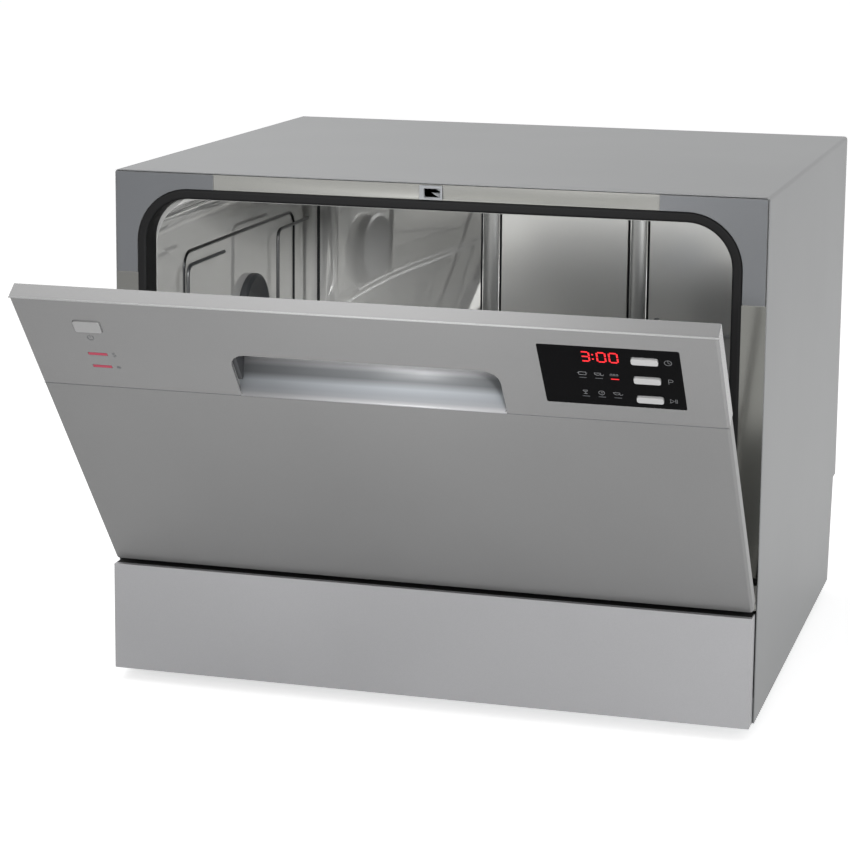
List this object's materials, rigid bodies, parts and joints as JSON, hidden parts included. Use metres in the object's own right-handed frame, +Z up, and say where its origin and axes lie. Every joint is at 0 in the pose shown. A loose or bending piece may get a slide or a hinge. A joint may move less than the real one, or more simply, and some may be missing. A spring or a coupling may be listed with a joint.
{
  "type": "countertop dishwasher",
  "caption": "Silver countertop dishwasher with a drop-down door left ajar, a wheeled dish basket, spray arm, sump, pumps and a display console.",
  "frame": {"origin": "on the worktop, under the middle of the whole machine's box with the door ajar as in the picture", "axes": "+Z up, -Y out through the door, +X to the display side of the console"},
  "size_m": [0.55, 0.7004, 0.438],
  "materials": {
    "casing_paint": "satin silver",
    "flange_steel": "satin",
    "plate_blue_grey": "satin",
    "base_steel": "matt",
    "stainless": "brushed",
    "door_silver": "satin silver",
    "console_silver": "satin silver",
    "handle_grey": "satin",
    "window_black": "gloss",
    "button_grey": "satin",
    "red_light": "translucent",
    "rubber_black": "matt",
    "dark_plastic": "matt",
    "grey_plastic": "satin",
    "pale_plastic": "satin",
    "blue_plastic": "satin",
    "coated_wire": "nylon coat",
    "hinge_steel": "zinc"
  },
  "bodies": {
    "cabinet": {"outer_wrap": "casing_paint", "front_frame": "flange_steel", "corner_plate_left": "plate_blue_grey", "corner_plate_right": "plate_blue_grey", "door_gasket": "rubber_black", "sill_seal": "rubber_black", "tub": "stainless", "base_pan": "base_steel", "foot_front_left": "dark_plastic", "foot_front_right": "dark_plastic", "foot_rear_left": "dark_plastic", "foot_rear_right": "dark_plastic", "kick_plate": "casing_paint", "back_panel": "base_steel", "service_panel": "base_steel", "inlet_valve": "pale_plastic", "drain_spigot": "dark_plastic", "cord_gland": "dark_plastic", "latch_housing": "handle_grey", "hinge_bracket_left": "hinge_steel", "hinge_bracket_right": "hinge_steel", "sump": "dark_plastic", "filter_plate": "stainless", "softener_tank": "grey_plastic", "breather_cap": "dark_plastic", "air_break_tank": "pale_plastic", "circulation_pump": "dark_plastic", "drain_pump": "dark_plastic"},
    "door": {"door_panel": "door_silver", "console": "console_silver", "handle_cup": "handle_grey", "display_window": "window_black", "light_guide": "red_light", "door_liner": "stainless", "dispenser_body": "pale_plastic", "latch_tongue": "hinge_steel", "hinge_arm_left": "hinge_steel", "hinge_arm_right": "hinge_steel"},
    "basket": {"basket_floor": "coated_wire", "basket_walls": "coated_wire", "tine_row_left": "coated_wire", "tine_row_middle": "coated_wire"},
    "pawl": {"latch_pawl": "pale_plastic"},
    "strainer": {"strainer_cup": "grey_plastic"},
    "spray_arm": {"spray_arm": "grey_plastic"},
    "impeller": {"pump_impeller": "pale_plastic"},
    "salt_cap": {"salt_cap": "dark_plastic"},
    "float": {"float_bell": "pale_plastic"},
    "delay_key": {"button_delay": "button_grey"},
    "programme_key": {"button_programme": "button_grey"},
    "start_key": {"button_start": "button_grey"},
    "power_key": {"power_button": "console_silver"},
    "dispenser_cover": {"dispenser_cover": "grey_plastic"},
    "rinse_cap": {"rinse_aid_cap": "blue_plastic"},
    "cup_shelf": {"cup_shelf": "coated_wire"},
    "cutlery_basket": {"cutlery_basket": "grey_plastic"},
    "roller_front_left": {"roller_front_left": "pale_plastic"},
    "roller_rear_left": {"roller_rear_left": "pale_plastic"},
    "roller_front_right": {"roller_front_right": "pale_plastic"},
    "roller_rear_right": {"roller_rear_right": "pale_plastic"}
  },
  "joints": [
    {"name": "door_hinge", "type": "hinge", "parent": "cabinet", "child": "door", "pos_m": [0, -0.1438, 0.114], "axis": [1, 0, 0], "range_deg": [-38.5, 51.5]},
    {"name": "basket_slide", "type": "slide", "parent": "cabinet", "child": "basket", "axis": [0, -1, 0], "range_m": [0, 0.025]},
    {"name": "roll_front_left", "type": "hinge", "parent": "basket", "child": "roller_front_left", "pos_m": [-0.2365, -0.0518, 0.1483], "axis": [1, 0, 0], "range_deg": [0, 120]},
    {"name": "roll_rear_left", "type": "hinge", "parent": "basket", "child": "roller_rear_left", "pos_m": [-0.2365, 0.2342, 0.1483], "axis": [1, 0, 0], "range_deg": [0, 120]},
    {"name": "roll_front_right", "type": "hinge", "parent": "basket", "child": "roller_front_right", "pos_m": [0.2365, -0.0518, 0.1483], "axis": [1, 0, 0], "range_deg": [0, 120]},
    {"name": "roll_rear_right", "type": "hinge", "parent": "basket", "child": "roller_rear_right", "pos_m": [0.2365, 0.2342, 0.1483], "axis": [1, 0, 0], "range_deg": [0, 120]},
    {"name": "shelf_fold", "type": "hinge", "parent": "basket", "child": "cup_shelf", "pos_m": [-0.2245, 0.09, 0.2535], "axis": [0, 1, 0], "range_deg": [0, 90]},
    {"name": "cutlery_lift", "type": "slide", "parent": "basket", "child": "cutlery_basket", "axis": [0, 0, 1], "range_m": [0, 0.08]},
    {"name": "pawl_slide", "type": "slide", "parent": "cabinet", "child": "pawl", "axis": [1, 0, 0], "range_m": [0, 0.003], "stiffness_N_per_m": 400, "springref_m": -0.001},
    {"name": "strainer_twist", "type": "hinge", "parent": "cabinet", "child": "strainer", "pos_m": [0.052, 0.0862, 0.1], "axis": [0, 0, 1], "range_deg": [0, 90]},
    {"name": "spray_arm_spin", "type": "hinge", "parent": "cabinet", "child": "spray_arm", "pos_m": [0, 0.0862, 0.14], "axis": [0, 0, 1], "continuous": true},
    {"name": "impeller_spin", "type": "hinge", "parent": "cabinet", "child": "impeller", "pos_m": [0.14, 0.0662, 0.06], "axis": [1, 0, 0], "continuous": true},
    {"name": "salt_cap_turn", "type": "hinge", "parent": "cabinet", "child": "salt_cap", "pos_m": [-0.178, -0.0288, 0.12], "axis": [0, 0, 1], "range_deg": [0, 180]},
    {"name": "float_rise", "type": "slide", "parent": "cabinet", "child": "float", "axis": [0, 0, 1], "range_m": [0, 0.008]},
    {"name": "delay_press", "type": "slide", "parent": "door", "child": "delay_key", "axis": [0, 0.7826, 0.6225], "range_m": [0, 0.0015], "stiffness_N_per_m": 400, "springref_m": -0.001},
    {"name": "programme_press", "type": "slide", "parent": "door", "child": "programme_key", "axis": [0, 0.7826, 0.6225], "range_m": [0, 0.0015], "stiffness_N_per_m": 400, "springref_m": -0.001},
    {"name": "start_press", "type": "slide", "parent": "door", "child": "start_key", "axis": [0, 0.7826, 0.6225], "range_m": [0, 0.0015], "stiffness_N_per_m": 400, "springref_m": -0.001},
    {"name": "power_press", "type": "slide", "parent": "door", "child": "power_key", "axis": [0, 0.7826, 0.6225], "range_m": [0, 0.0015], "stiffness_N_per_m": 400, "springref_m": -0.001},
    {"name": "cover_slide", "type": "slide", "parent": "door", "child": "dispenser_cover", "axis": [-1, 0, 0], "range_m": [0, 0.062]},
    {"name": "rinse_cap_turn", "type": "hinge", "parent": "door", "child": "rinse_cap", "pos_m": [0.038, -0.21567, 0.24339], "axis": [0, 0.7826, 0.6225], "range_deg": [0, 90]}
  ],
  "couplings": [
    {"joint": "roll_front_left", "follows": "basket_slide", "rad_per_m": 83.333},
    {"joint": "roll_rear_left", "follows": "basket_slide", "rad_per_m": 83.333},
    {"joint": "roll_front_right", "follows": "basket_slide", "rad_per_m": 83.333},
    {"joint": "roll_rear_right", "follows": "basket_slide", "rad_per_m": 83.333}
  ]
}
